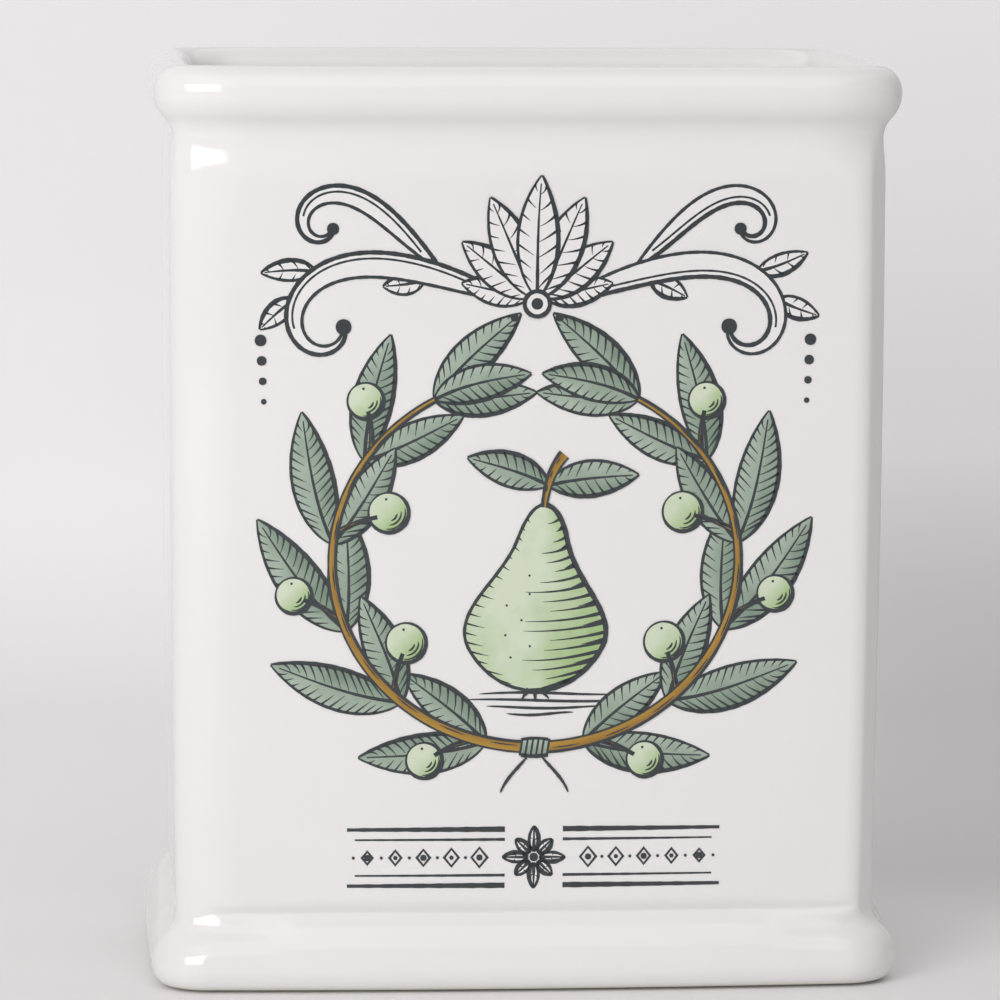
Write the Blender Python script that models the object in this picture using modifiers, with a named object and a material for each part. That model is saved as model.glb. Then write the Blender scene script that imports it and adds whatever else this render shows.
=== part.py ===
# Open ceramic jar: one slip-cast, glazed vessel that stands on four soft pads.
# Metres, +Z up. The front faces -Y, the table is z = 0 and the origin is under the middle.
# The vessel is a loft of bowed rectangles with round corners. Its profile starts in the recess under the base,
# runs out over the foot ring, up the flared foot and the wall, over the rolled rim and down inside.

import math

import bmesh
import bpy
import numpy as np

# Driving sizes of the vessel
HEIGHT = 0.178               # table to the crest of the rim
NECK_WIDTH = 0.137           # outside of the side walls, just under the rim
NECK_DEPTH = 0.0896          # outside of the front and back walls there, at the corners
WALL = 0.0065                # thickness of the walls
DRAFT = 0.0009               # how far each wall leans in from the neck to the foot
BELLY = 0.0004               # how far a wall swells between the neck and the foot
FACE_BOW = 0.0021            # how far the middle of the front and back stands out from their ends
SIDE_BOW = 0.0008            # the same on the two sides
CORNER_RADIUS = 0.0058       # upright outer corners of the walls
WALL_STRETCH = 0.004         # how much longer these corners are along the front than along the side
INNER_CORNER_RADIUS = 0.009  # upright corners of the inside

# Rolled rim
RIM_PROUD = 0.003            # how far the bead stands out from the wall
RIM_ROUND = 0.0051           # crest down to the bead's widest line
RIM_UNDERCUT = 0.0079        # widest line down to the neck
RIM_COVE = 0.0045            # radius of the hollow under the bead
RIM_STRETCH = 0.006          # longer corners, as on the wall
NECK_DIP = 0.0007            # how far the wall is drawn in at the neck
NECK_REACH = 0.008           # height of wall that this takes

# Flared foot
FOOT_PROUD = 0.0046          # how far the foot stands out from the wall
FOOT_ROUND = 0.0043          # foot ring up to the foot's widest line
FOOT_TUCK = 0.003            # how far the round turns in again under the widest line
FOOT_RISE = 0.0119           # widest line up to the wall
FOOT_COVE = 0.0025           # radius of the hollow where the foot meets the wall
FOOT_STRETCH = 0.0004        # longer corners, as on the wall

# Base
FLOOR_THICKNESS = 0.0065
FLOOR_FILLET = 0.010         # round between the inner walls and the floor
FOOT_RING_WIDTH = 0.0088     # flat ring that carries the jar in the kiln
RECESS_DEPTH = 0.0016        # hollow inside the foot ring
RECESS_SLOPE = 0.001         # run of the recess's slanted edge
RECESS_CORNER_RADIUS = 0.004

# Pads
PAD_RADIUS = 0.005
PAD_PROUD = 0.0005           # how far a pad lifts the foot ring off the table
PAD_EDGE_ROUND = 0.0004
PAD_INSET = 0.003            # recess edge to a pad's edge
SEAT_GAP = 0.0003            # between a pad and the base above it

# Facets
CORNER_STEPS = 7             # per quarter turn of the outline
FACE_STEPS = 8               # along the front or back
SIDE_STEPS = 4               # along a side
ARC_STEPS = 4                # per arc of the profile
LIP_STEPS = 6                # per quarter of the rim's round
WALL_STEPS = 4               # up a wall
NECK_STEPS = 4               # up the part of it that is drawn in
PAD_STEPS = 24               # round a pad

# Heights and places that follow
RING_Z = PAD_PROUD
FOOT_WIDEST_Z = RING_Z + FOOT_ROUND
FOOT_TOP_Z = FOOT_WIDEST_Z + FOOT_RISE
RECESS_Z = RING_Z + RECESS_DEPTH
FLOOR_Z = RECESS_Z + FLOOR_THICKNESS
RIM_WIDEST_Z = HEIGHT - RIM_ROUND
NECK_Z = RIM_WIDEST_Z - RIM_UNDERCUT
RING_OUTER_OUT = FOOT_PROUD - FOOT_TUCK - DRAFT
RING_INNER_OUT = RING_OUTER_OUT - FOOT_RING_WIDTH
RECESS_OUT = RING_INNER_OUT - RECESS_SLOPE
CREST_OUT = (RIM_PROUD - WALL) / 2
LIP_HALF_WIDTH = (RIM_PROUD + WALL) / 2

GLAZE_COLOR = (0.86, 0.84, 0.83, 1.0)
PAD_COLOR = (0.62, 0.63, 0.64, 1.0)


def clear_scene():
    for item in list(bpy.data.objects):
        bpy.data.objects.remove(item, do_unlink=True)


def make_collection(name):
    collection = bpy.data.collections.new(name)
    bpy.context.scene.collection.children.link(collection)
    return collection


def make_material(name, color, roughness):
    material = bpy.data.materials.new(name)
    material.use_nodes = True
    shader = material.node_tree.nodes["Principled BSDF"]
    shader.inputs["Base Color"].default_value = color
    shader.inputs["Roughness"].default_value = roughness
    shader.inputs["Metallic"].default_value = 0.0
    return material


# Outline: a rectangle with elliptical corners whose four sides bow outwards, anticlockwise seen from above.
# Each side's points move out by its bow times 1 - (distance from its middle / half its length) squared.
def outline(out, radius, stretch):
    half_width = NECK_WIDTH / 2 + out
    half_depth = NECK_DEPTH / 2 + out
    long_radius = radius + stretch
    corner_x = half_width - long_radius
    corner_y = half_depth - radius
    turns = np.linspace(0.0, math.pi / 2, CORNER_STEPS + 1)
    points = []
    for quarter, (side_x, side_y) in enumerate(((1, 1), (-1, 1), (-1, -1), (1, -1))):
        for turn in turns + quarter * math.pi / 2:
            points.append((side_x * corner_x + long_radius * math.cos(turn),
                           side_y * corner_y + radius * math.sin(turn)))
        along_face = quarter % 2 == 0
        steps = FACE_STEPS if along_face else SIDE_STEPS
        for share in np.linspace(1.0, -1.0, steps + 1)[1:-1]:
            if along_face:
                points.append((side_x * corner_x * share, side_y * half_depth))
            else:
                points.append((side_x * half_width, side_y * corner_y * share))
    x, y = np.array(points).T
    face_share = np.minimum(1.0, np.abs(y) / corner_y)
    side_share = np.minimum(1.0, np.abs(x) / corner_x)
    bowed_x = x + np.sign(x) * SIDE_BOW * (1 - (y / half_depth) ** 2) * side_share
    bowed_y = y + np.sign(y) * FACE_BOW * (1 - (x / half_width) ** 2) * face_share
    return np.stack([bowed_x, bowed_y], axis=1)


# How far the outside of the wall lies from the neck's outline at a height: draft plus belly.
def wall_out(z):
    share = min(max((NECK_Z - z) / (NECK_Z - FOOT_TOP_Z), 0.0), 1.0)
    return BELLY * 4 * share * (1 - share) - DRAFT * share


# Share of the way from low to high, with a level start and end
def ease(value, low, high):
    share = min(max((value - low) / (high - low), 0.0), 1.0)
    return share * share * (3 - 2 * share)


# How much longer the outer corners are along the front at a height: foot, then wall, then rim.
def outer_stretch(z):
    up_foot = ease(z, FOOT_WIDEST_Z, FOOT_TOP_Z)
    up_neck = ease(z, NECK_Z - NECK_REACH, RIM_WIDEST_Z)
    return FOOT_STRETCH + (WALL_STRETCH - FOOT_STRETCH) * up_foot + (RIM_STRETCH - WALL_STRETCH) * up_neck


# Outer corners keep their centres as the outline moves out, so their radius grows with it.
def outer_radius(out):
    return max(CORNER_RADIUS + out, RECESS_CORNER_RADIUS)


# From the crest of the rim inwards, the corners turn into those of the inside.
def lip_corner(out):
    share = max((CREST_OUT - out) / LIP_HALF_WIDTH, 0.0)
    radius = outer_radius(max(out, CREST_OUT)) * (1 - share) + INNER_CORNER_RADIUS * share
    return radius, RIM_STRETCH * (1 - share)


# Ogee from a bulge to the wall, as (run, rise) points: a round that leaves the bulge upright,
# then a cove that meets the wall upright. Both arcs turn through the same slope.
def ogee(run, rise, cove):
    slope = 2 * math.atan(run / rise)
    radii = rise / math.sin(slope)
    cove_radius = min(cove, radii / 2)
    round_radius = radii - cove_radius
    points = []
    for turn in np.linspace(0.0, slope, ARC_STEPS + 1):
        points.append((run - round_radius * (1 - math.cos(turn)), round_radius * math.sin(turn)))
    for turn in np.linspace(slope, 0.0, ARC_STEPS + 1)[1:]:
        points.append((cove_radius * (1 - math.cos(turn)), rise - cove_radius * math.sin(turn)))
    return points


# The profile's parts, each a list of (out, z, corner radius, corner stretch) sections
def outer_section(out, z):
    return out, z, outer_radius(out), outer_stretch(z)


def base_sections():
    return [outer_section(out, z) for out, z in (
        (RECESS_OUT, RECESS_Z), (RING_INNER_OUT, RING_Z), (RING_OUTER_OUT, RING_Z))]


def foot_sections():
    sections = []
    for turn in np.linspace(0.0, math.pi / 2, LIP_STEPS + 1)[1:-1]:
        out = RING_OUTER_OUT + FOOT_TUCK * math.sin(turn)
        sections.append(outer_section(out, FOOT_WIDEST_Z - FOOT_ROUND * math.cos(turn)))
    for run, rise in ogee(FOOT_PROUD, FOOT_RISE, FOOT_COVE):
        sections.append(outer_section(run - DRAFT, FOOT_WIDEST_Z + rise))
    return sections


def wall_sections():
    sections = []
    dip_z = NECK_Z - NECK_REACH
    for z in np.linspace(FOOT_TOP_Z, dip_z, WALL_STEPS + 1)[1:]:
        sections.append(outer_section(wall_out(z), z))
    for z in np.linspace(dip_z, NECK_Z, NECK_STEPS + 1)[1:-1]:
        sections.append(outer_section(wall_out(z) - NECK_DIP * ease(z, dip_z, NECK_Z), z))
    return sections


def rim_sections():
    sections = []
    for run, drop in reversed(ogee(RIM_PROUD + NECK_DIP, RIM_UNDERCUT, RIM_COVE)):
        sections.append(outer_section(run - NECK_DIP, RIM_WIDEST_Z - drop))
    for turn in np.linspace(0.0, math.pi, 2 * LIP_STEPS + 1)[1:]:
        out = CREST_OUT + LIP_HALF_WIDTH * math.cos(turn)
        sections.append((out, RIM_WIDEST_Z + RIM_ROUND * math.sin(turn), *lip_corner(out)))
    return sections


def inside_sections():
    sections = []
    fillet_top_z = FLOOR_Z + FLOOR_FILLET
    for z in np.linspace(NECK_Z, fillet_top_z, WALL_STEPS + 1):
        sections.append((wall_out(z) - WALL, z, INNER_CORNER_RADIUS, 0.0))
    foot_out = wall_out(fillet_top_z) - WALL
    for turn in np.linspace(0.0, math.pi / 2, LIP_STEPS + 1)[1:]:
        inwards = FLOOR_FILLET * (1 - math.cos(turn))
        radius = max(INNER_CORNER_RADIUS - inwards * 0.6, RECESS_CORNER_RADIUS / 2)
        sections.append((foot_out - inwards, fillet_top_z - FLOOR_FILLET * math.sin(turn), radius, 0.0))
    return sections


# Loft: each section's points are joined to the next section's by quads, and both ends are closed flat.
def build_vessel(collection, material):
    sections = base_sections() + foot_sections() + wall_sections() + rim_sections() + inside_sections()
    surface = bmesh.new()
    rings = []
    for out, z, radius, stretch in sections:
        rings.append([surface.verts.new((x, y, z)) for x, y in outline(out, radius, stretch)])
    for low, high in zip(rings, rings[1:]):
        for i in range(len(low)):
            surface.faces.new((low[i - 1], low[i], high[i], high[i - 1]))
    surface.faces.new(reversed(rings[0]))
    surface.faces.new(rings[-1])
    mesh = bpy.data.meshes.new("vessel")
    surface.to_mesh(mesh)
    surface.free()
    mesh.materials.append(material)
    mesh.shade_smooth()
    mesh.set_sharp_from_angle(angle=math.radians(35))
    vessel = bpy.data.objects.new("vessel", mesh)
    collection.objects.link(vessel)
    return vessel


# Pad: a short turned disc with a rounded lower edge, stuck in the recess near a corner
def build_pad(name, side_x, side_y, collection, material):
    top_z = RECESS_Z - SEAT_GAP
    points = [(0.0, 0.0, top_z), (PAD_RADIUS, 0.0, top_z)]
    for turn in np.linspace(0.0, math.pi / 2, ARC_STEPS + 1):
        points.append((PAD_RADIUS - PAD_EDGE_ROUND * (1 - math.cos(turn)), 0.0,
                       PAD_EDGE_ROUND * (1 - math.sin(turn))))
    points.append((0.0, 0.0, 0.0))
    mesh = bpy.data.meshes.new(name)
    mesh.from_pydata(points, [(i, i + 1) for i in range(len(points) - 1)], [])
    mesh.materials.append(material)
    pad = bpy.data.objects.new(name, mesh)
    from_edge = PAD_INSET + PAD_RADIUS
    pad.location = (side_x * (NECK_WIDTH / 2 + RECESS_OUT - from_edge),
                    side_y * (NECK_DEPTH / 2 + RECESS_OUT - from_edge), 0.0)
    screw = pad.modifiers.new("turn", "SCREW")
    screw.axis = "Z"
    screw.angle = 2 * math.pi
    screw.steps = PAD_STEPS
    screw.render_steps = PAD_STEPS
    screw.use_merge_vertices = True
    screw.merge_threshold = 0.00001
    screw.use_smooth_shade = True
    collection.objects.link(pad)
    return pad


def build_jar():
    clear_scene()
    parts = make_collection("ceramic_jar")
    glaze = make_material("white_glaze", GLAZE_COLOR, 0.1)
    soft_pad = make_material("soft_pad", PAD_COLOR, 0.45)
    build_vessel(parts, glaze)
    for end, side_y in (("front", -1), ("back", 1)):
        for hand, side_x in (("left", -1), ("right", 1)):
            build_pad(f"pad_{end}_{hand}", side_x, side_y, parts, soft_pad)


build_jar()
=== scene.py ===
import math

import bpy
import mathutils
import numpy as np
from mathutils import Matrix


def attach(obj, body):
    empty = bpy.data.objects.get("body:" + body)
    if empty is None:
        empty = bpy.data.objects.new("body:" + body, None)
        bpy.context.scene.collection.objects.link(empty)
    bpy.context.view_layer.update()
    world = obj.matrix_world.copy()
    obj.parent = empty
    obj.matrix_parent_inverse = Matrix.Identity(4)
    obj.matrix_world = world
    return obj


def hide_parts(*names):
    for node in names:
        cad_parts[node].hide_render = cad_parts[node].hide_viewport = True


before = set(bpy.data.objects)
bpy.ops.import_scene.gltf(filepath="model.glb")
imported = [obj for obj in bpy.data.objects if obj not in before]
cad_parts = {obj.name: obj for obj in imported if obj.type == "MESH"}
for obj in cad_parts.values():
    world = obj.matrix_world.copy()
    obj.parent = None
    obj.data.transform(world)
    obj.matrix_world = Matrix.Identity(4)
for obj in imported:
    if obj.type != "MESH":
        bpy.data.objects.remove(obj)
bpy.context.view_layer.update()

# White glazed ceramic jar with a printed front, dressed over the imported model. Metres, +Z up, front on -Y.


# Small helpers

def newMeshObject(name, points, faces, material, smooth=True):
    # points is an array of rows, faces a list of index lists
    mesh = bpy.data.meshes.new(name)
    mesh.from_pydata(points.tolist(), [], faces)
    mesh.update()
    if smooth:
        mesh.shade_smooth()
    mesh.materials.append(material)
    item = bpy.data.objects.new(name, mesh)
    bpy.context.scene.collection.objects.link(item)
    return item


def quads(*corners):
    # four arrays of point numbers become one row of four for each face
    return np.stack(corners, axis=-1).reshape(-1, 4)


def closedShell(name, grid, material, downwards=False):
    # quads between the rings of a grid and a flat lid on its first and last ring; downwards is for rings
    # that run out and down from the top, not out and up from the bottom
    index = np.arange(grid.shape[0] * grid.shape[1]).reshape(grid.shape[:2])
    beside = np.roll(index, -1, axis=1)
    faces = quads(index[:-1], beside[:-1], beside[1:], index[1:])
    lids = [index[0][::-1], index[-1]]
    if downwards:
        faces = faces[:, [0, 3, 2, 1]]
        lids = [lid[::-1] for lid in lids]
    return newMeshObject(name, grid.reshape(-1, 3), faces.tolist() + [lid.tolist() for lid in lids], material)


def arc(start, end, count):
    # evenly spread angles from start to end, both in degrees
    return np.radians(np.linspace(start, end, count))


def ease(value, low, high):
    # 0 at low, 1 at high, with a level start and end: 3 t^2 - 2 t^3
    t = np.clip((value - low) / (high - low), 0.0, 1.0)
    return t * t * (3 - 2 * t)


# Nodes

def fill(tree, node, inputs):
    # each named or numbered socket gets a fixed value, or the output of another node
    for key, value in inputs.items():
        if isinstance(value, bpy.types.NodeSocket):
            tree.links.new(value, node.inputs[key])
        else:
            node.inputs[key].default_value = value


def addNode(tree, kind, place, inputs=None, **settings):
    # settings come first, because some of them change the node's sockets
    node = tree.nodes.new(kind)
    node.location = place
    for key, value in settings.items():
        setattr(node, key, value)
    fill(tree, node, inputs or {})
    return node


def addMath(tree, place, operation, first, second, clamp=False):
    # first and second are numbers or outputs
    node = addNode(tree, "ShaderNodeMath", place, {0: first, 1: second}, operation=operation, use_clamp=clamp)
    return node.outputs["Value"]


def addMix(tree, place, share, first, second, blend="MIX"):
    # the first colour at share 0, the second at share 1
    node = addNode(tree, "ShaderNodeMix", place, {0: share, 6: first, 7: second}, data_type="RGBA",
                   blend_type=blend)
    return node.outputs[2]


def addRange(tree, place, value, source=(0.0, 1.0), target=(0.0, 1.0), smooth=False):
    # source is stretched onto target and held beyond its ends
    inputs = {"Value": value, "From Min": source[0], "From Max": source[1], "To Min": target[0],
              "To Max": target[1]}
    kind = "SMOOTHSTEP" if smooth else "LINEAR"
    return addNode(tree, "ShaderNodeMapRange", place, inputs, interpolation_type=kind).outputs["Result"]


def addNoise(tree, place, coords, scale, detail):
    # soft blots, scale of them per metre
    inputs = {"Vector": coords, "Scale": scale, "Detail": detail}
    return addNode(tree, "ShaderNodeTexNoise", place, inputs).outputs["Fac"]


def addBump(tree, place, height, strength, distance):
    # a normal tilted as if the surface rose by height times distance
    inputs = {"Strength": strength, "Distance": distance, "Height": height}
    return addNode(tree, "ShaderNodeBump", place, inputs).outputs["Normal"]


def addCoords(tree, place):
    # places on the object, in metres
    return addNode(tree, "ShaderNodeTexCoord", place).outputs["Object"]


def newMaterial(name):
    # a material, its node tree and its shader
    material = bpy.data.materials.new(name)
    material.use_nodes = True
    return material, material.node_tree, material.node_tree.nodes["Principled BSDF"]


# Glaze, inks and soft pads

glazeLook = {
    "ior": 1.52,
    "light": (0.845, 0.828, 0.824, 1.0),    # where the glaze is thick
    "shade": (0.815, 0.796, 0.790, 1.0),    # where it is thin
    "cloudScale": 9.0,                      # patterns per metre
    "waveScale": 42.0,
    "peelScale": 850.0,
    "peelShare": 0.02,                      # height of the orange peel against the waves
    "smoothness": 0.05,                     # roughness where the clouds end
    "dullness": 0.10,                       # and in their middle
    "bump": 0.12,
    "bumpDepth": 0.0005,
    "speck": (0.52, 0.49, 0.46, 1.0),
    "speckCells": 58.0,                     # cells per metre that may hold a pin speck
    "speckEdge": (0.020, 0.034),            # where a speck starts to fade and where it ends, in cells
    "speckRare": 0.86,                      # share of the cells without a speck
    "speckDepth": 0.5,
    "bareClay": (0.78, 0.74, 0.69, 1.0),    # foot ring, wiped clean before firing
    "bareBelow": 0.0011,                    # metres above the table
    "bareBlend": 0.0002,
    "bareRough": 0.75,
}


def makeGlazeGroup():
    # Fired glaze: soft clouds in the colour, slow waves and fine orange peel in the surface.
    # Inputs: the three scales, and the roughness outside and inside the clouds.
    # Outputs: clouds 0..1, height, roughness.
    group = bpy.data.node_groups.new("firedGlaze", "ShaderNodeTree")
    for name, key in (("Cloud Scale", "cloudScale"), ("Wave Scale", "waveScale"), ("Peel Scale", "peelScale"),
                      ("Smoothness", "smoothness"), ("Dullness", "dullness")):
        socket = group.interface.new_socket(name, in_out="INPUT", socket_type="NodeSocketFloat")
        socket.default_value = glazeLook[key]
    for name in ("Clouds", "Height", "Roughness"):
        group.interface.new_socket(name, in_out="OUTPUT", socket_type="NodeSocketFloat")
    given = addNode(group, "NodeGroupInput", (-900, 0))
    coords = addCoords(group, (-900, 300))
    scales = (("Cloud Scale", 4.0), ("Wave Scale", 1.5), ("Peel Scale", 2.0))
    cloud, wave, peel = (addNoise(group, (-620, 260 - 260 * row), coords, given.outputs[scale], detail)
                         for row, (scale, detail) in enumerate(scales))
    clouds = addRange(group, (-360, 260), cloud, (0.3, 0.7))
    finePeel = addMath(group, (-360, -260), "MULTIPLY", peel, glazeLook["peelShare"])
    height = addMath(group, (-120, -120), "ADD", wave, finePeel)
    roughness = addRange(group, (-120, 120), clouds,
                         target=(given.outputs["Smoothness"], given.outputs["Dullness"]))
    addNode(group, "NodeGroupOutput", (500, 0), {"Clouds": clouds, "Height": height, "Roughness": roughness})
    return group


def makeGlazeMaterial(group):
    # clouded white, then a few pin specks, then bare clay below a height
    material, tree, shader = newMaterial("whiteGlaze")
    coords = addCoords(tree, (-1500, 0))
    glaze = addNode(tree, "ShaderNodeGroup", (-1100, 200), node_tree=group)
    tone = addMix(tree, (-800, 300), glaze.outputs["Clouds"], glazeLook["shade"], glazeLook["light"])
    # pin specks: the heart of a few Voronoi cells
    cells = addNode(tree, "ShaderNodeTexVoronoi", (-1100, -100),
                    {"Vector": coords, "Scale": glazeLook["speckCells"]})
    dot = addRange(tree, (-900, -60), cells.outputs["Distance"], glazeLook["speckEdge"], (1.0, 0.0))
    pick = addNode(tree, "ShaderNodeSeparateColor", (-900, -260), {"Color": cells.outputs["Color"]})
    rare = addMath(tree, (-700, -260), "GREATER_THAN", pick.outputs["Red"], glazeLook["speckRare"])
    speck = addMath(tree, (-520, -140), "MULTIPLY", dot, rare)
    faint = addMath(tree, (-360, -140), "MULTIPLY", speck, glazeLook["speckDepth"])
    speckled = addMix(tree, (-300, 260), faint, tone, glazeLook["speck"])
    split = addNode(tree, "ShaderNodeSeparateXYZ", (-1100, -420), {"Vector": coords})
    edge = (glazeLook["bareBelow"], glazeLook["bareBelow"] + glazeLook["bareBlend"])
    bare = addRange(tree, (-700, -460), split.outputs["Z"], edge, (1.0, 0.0))
    rough = addNode(tree, "ShaderNodeMix", (-120, 60),
                    {0: bare, 2: glaze.outputs["Roughness"], 3: glazeLook["bareRough"]}, data_type="FLOAT")
    bump = addBump(tree, (-120, -140), glaze.outputs["Height"], glazeLook["bump"], glazeLook["bumpDepth"])
    fill(tree, shader, {"IOR": glazeLook["ior"], "Roughness": rough.outputs[0], "Normal": bump,
                        "Base Color": addMix(tree, (-120, 300), bare, speckled, glazeLook["bareClay"])})
    return material


inkLook = {
    "blotScale": 160.0,
    "blotDetail": 3.0,
    "blotSpread": 0.22,     # how far the blots push the wash either way
    "smoothness": 0.10,
    "dullness": 0.16,
    # plain and deep colour
    "line": ((0.030, 0.037, 0.042, 1.0), (0.044, 0.052, 0.058, 1.0)),
    "leaf": ((0.40, 0.48, 0.40, 1.0), (0.165, 0.245, 0.175, 1.0)),
    "fruit": ((0.64, 0.71, 0.55, 1.0), (0.34, 0.50, 0.20, 1.0)),
    "stem": ((0.48, 0.28, 0.036, 1.0), (0.25, 0.13, 0.022, 1.0)),
}


def makeInkMaterial(name, group):
    # Enamel ink under the same glaze. The piece's own "wash" attribute turns plain into deep.
    material, tree, shader = newMaterial(name + "Ink")
    wash = addNode(tree, "ShaderNodeAttribute", (-900, 200), attribute_name="wash")
    blot = addNoise(tree, (-900, -100), addCoords(tree, (-1100, -100)), inkLook["blotScale"],
                    inkLook["blotDetail"])
    spread = addRange(tree, (-700, -100), blot, (0.3, 0.7), (-inkLook["blotSpread"], inkLook["blotSpread"]))
    mixed = addMath(tree, (-500, 100), "ADD", wash.outputs["Fac"], spread, clamp=True)
    glaze = addNode(tree, "ShaderNodeGroup", (-500, -300),
                    {"Smoothness": inkLook["smoothness"], "Dullness": inkLook["dullness"]}, node_tree=group)
    bump = addBump(tree, (-200, -200), glaze.outputs["Height"], glazeLook["bump"], glazeLook["bumpDepth"])
    fill(tree, shader, {"IOR": glazeLook["ior"], "Roughness": glaze.outputs["Roughness"], "Normal": bump,
                        "Base Color": addMix(tree, (-300, 200), mixed, *inkLook[name])})
    return material


padLook = {
    "ior": 1.43,
    "dustScale": 420.0,
    "dustDetail": 5.0,
    "clear": (0.55, 0.56, 0.57, 1.0),
    "dusty": (0.68, 0.69, 0.70, 1.0),
    "roughness": (0.3, 0.55),
    "bump": 0.3,
    "bumpDepth": 0.0001,
}


def makePadMaterial():
    # soft clear pads: one dust noise dulls, pales and roughens them
    material, tree, shader = newMaterial("softPad")
    dust = addNoise(tree, (-600, 100), addCoords(tree, (-800, 0)), padLook["dustScale"],
                    padLook["dustDetail"])
    fill(tree, shader, {
        "IOR": padLook["ior"],
        "Base Color": addMix(tree, (-300, 200), dust, padLook["clear"], padLook["dusty"]),
        "Roughness": addRange(tree, (-300, 0), dust, target=padLook["roughness"]),
        "Normal": addBump(tree, (-300, -200), dust, padLook["bump"], padLook["bumpDepth"]),
    })
    return material


glazeGroup = makeGlazeGroup()
whiteGlaze = makeGlazeMaterial(glazeGroup)
inks = {name: makeInkMaterial(name, glazeGroup) for name in ("line", "leaf", "fruit", "stem")}
softPad = makePadMaterial()
print("materials ready")


# The vessel

jar = {
    "height": 0.178,
    "neckWidth": 0.137,
    "neckDepth": 0.0896,
    "wall": 0.0065,
    "draft": 0.0009,
    "belly": 0.0004,
    "faceBow": 0.0021,
    "sideBow": 0.0008,
    "cornerRadius": 0.0058,
    "innerCornerRadius": 0.009,
    "facetWidth": 0.0036,       # the wall's corners are flattened: how far along the front
    "facetDepth": 0.0050,       # and how far along the side
    "facetEdge": 0.0012,        # radius of the edge towards the front
    "facetBack": 0.0030,        # radius of the edge towards the side
    "facetRight": 0.75,         # how far the right corners are flattened, 0 to 1
    "facetLeft": 0.0,
    "facetStart": 0.0120,       # height at which they begin
    "facetFade": (0.008, 0.001),    # they fade out between these places below and above the neck
    "stretchFoot": 0.0010,      # how much longer the corners are along the front than along the side
    "stretchWall": 0.0070,
    "stretchNeck": 0.0100,
    "stretchRim": 0.0075,
    "neckBlend": (0.020, 0.004),    # the wall's stretch turns into the neck's between these depths
    "rimProud": 0.003,
    "rimRound": 0.0051,
    "rimUndercut": 0.0087,
    "rimCove": 0.0055,
    "neckDip": 0.00045,         # the wall is drawn in under the rim
    "neckReach": 0.0065,
    "heelDip": 0.0011,          # and over the foot
    "heelReach": 0.0028,
    "heelRows": 0.006,          # closer rings stand this far over the foot
    "footProud": 0.0046,
    "footRound": 0.0043,
    "footTuck": 0.0030,
    "footRise": 0.0104,
    "footCrease": 0.0006,       # radius of the crease over the foot
    "footCornerRise": 0.0100,   # at the corners the foot ends in a soft cove
    "footCornerCove": 0.0052,
    "creaseFace": 0.30,         # share of half the front over which the roll under the crease fades in
    "creaseSide": 0.40,
    "grooveDip": 0.0005,        # the fine line of the crease runs on and ends in the corners
    "grooveReach": 0.0009,
    "grooveEnd": 0.45,          # share of a corner, from the side, that has no line
    "waveHeight": 0.00005,      # slow waves that casting and glaze leave in the surface
    # how far each of the four waves turns, in radians, over half the width, half the depth and a metre of
    # height, and where it starts
    "waves": ((13.0, 5.0, 190.0, 0.0), (0.0, 7.0, -260.0, 0.9), (24.0, 0.0, -330.0, 2.1),
              (0.0, 11.0, 410.0, 0.0)),
    "floorThickness": 0.0065,
    "floorFillet": 0.010,
    "filletTaper": 0.6,         # how fast the inner corners tighten down the fillet
    "floorRings": (0.006, 0.022),   # rings on the flat floor, inwards from the fillet
    "footRingWidth": 0.0088,
    "footRingEdge": 0.0003,
    "baseRings": (0.028, 0.006),    # rings on the flat base, inwards from the recess's edge
    "recessDepth": 0.0016,
    "recessSlope": 0.001,
    "recessCorner": 0.004,
    "padProud": 0.0005,
    "cornerSteps": 34,
    "faceSteps": 60,
    "sideSteps": 36,
    "crowding": 1.2,            # how much closer the points lie towards the ends of a side
}
ringZ = jar["padProud"]
footWidestZ = ringZ + jar["footRound"]
footTopZ = footWidestZ + jar["footRise"]
recessZ = ringZ + jar["recessDepth"]
floorZ = recessZ + jar["floorThickness"]
rimWidestZ = jar["height"] - jar["rimRound"]
neckZ = rimWidestZ - jar["rimUndercut"]
ringOuter = jar["footProud"] - jar["footTuck"] - jar["draft"]
ringInner = ringOuter - jar["footRingWidth"]
recessEdge = ringInner - jar["recessSlope"]


def wallOut(z):
    # outside of the wall against the neck: a belly of 4 s (1 - s) less the draft times s, s from neck to foot
    share = np.clip((neckZ - z) / (neckZ - footTopZ), 0.0, 1.0)
    return jar["belly"] * 4 * share * (1 - share) - jar["draft"] * share


def ogeeRadii(run, rise, cove):
    # slope of an ogee half way up, and the radii of its round and its cove
    slope = 2 * math.atan(run / rise)
    radii = rise / math.sin(slope)
    coveRadius = min(cove, radii / 2)
    return slope, radii - coveRadius, coveRadius


def ogeeOut(h, run, rise, cove):
    # how far an ogee stands out at height h from its bulge: a round that leaves the bulge upright,
    # then a cove that meets the wall upright, both of one slope
    slope, roundRadius, coveRadius = ogeeRadii(run, rise, cove)
    rounded = run - roundRadius + np.sqrt(np.maximum(roundRadius ** 2 - h ** 2, 0.0))
    hollow = coveRadius - np.sqrt(np.maximum(coveRadius ** 2 - (rise - h) ** 2, 0.0))
    return np.where(h <= roundRadius * math.sin(slope), rounded, hollow)


def ogeeHeights(run, rise, cove, count):
    # heights of evenly turned points on both arcs of an ogee
    slope, roundRadius, coveRadius = ogeeRadii(run, rise, cove)
    turn = np.linspace(0.0, slope, count)
    return np.concatenate([roundRadius * np.sin(turn), rise - coveRadius * np.sin(turn[:-1])])


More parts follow.
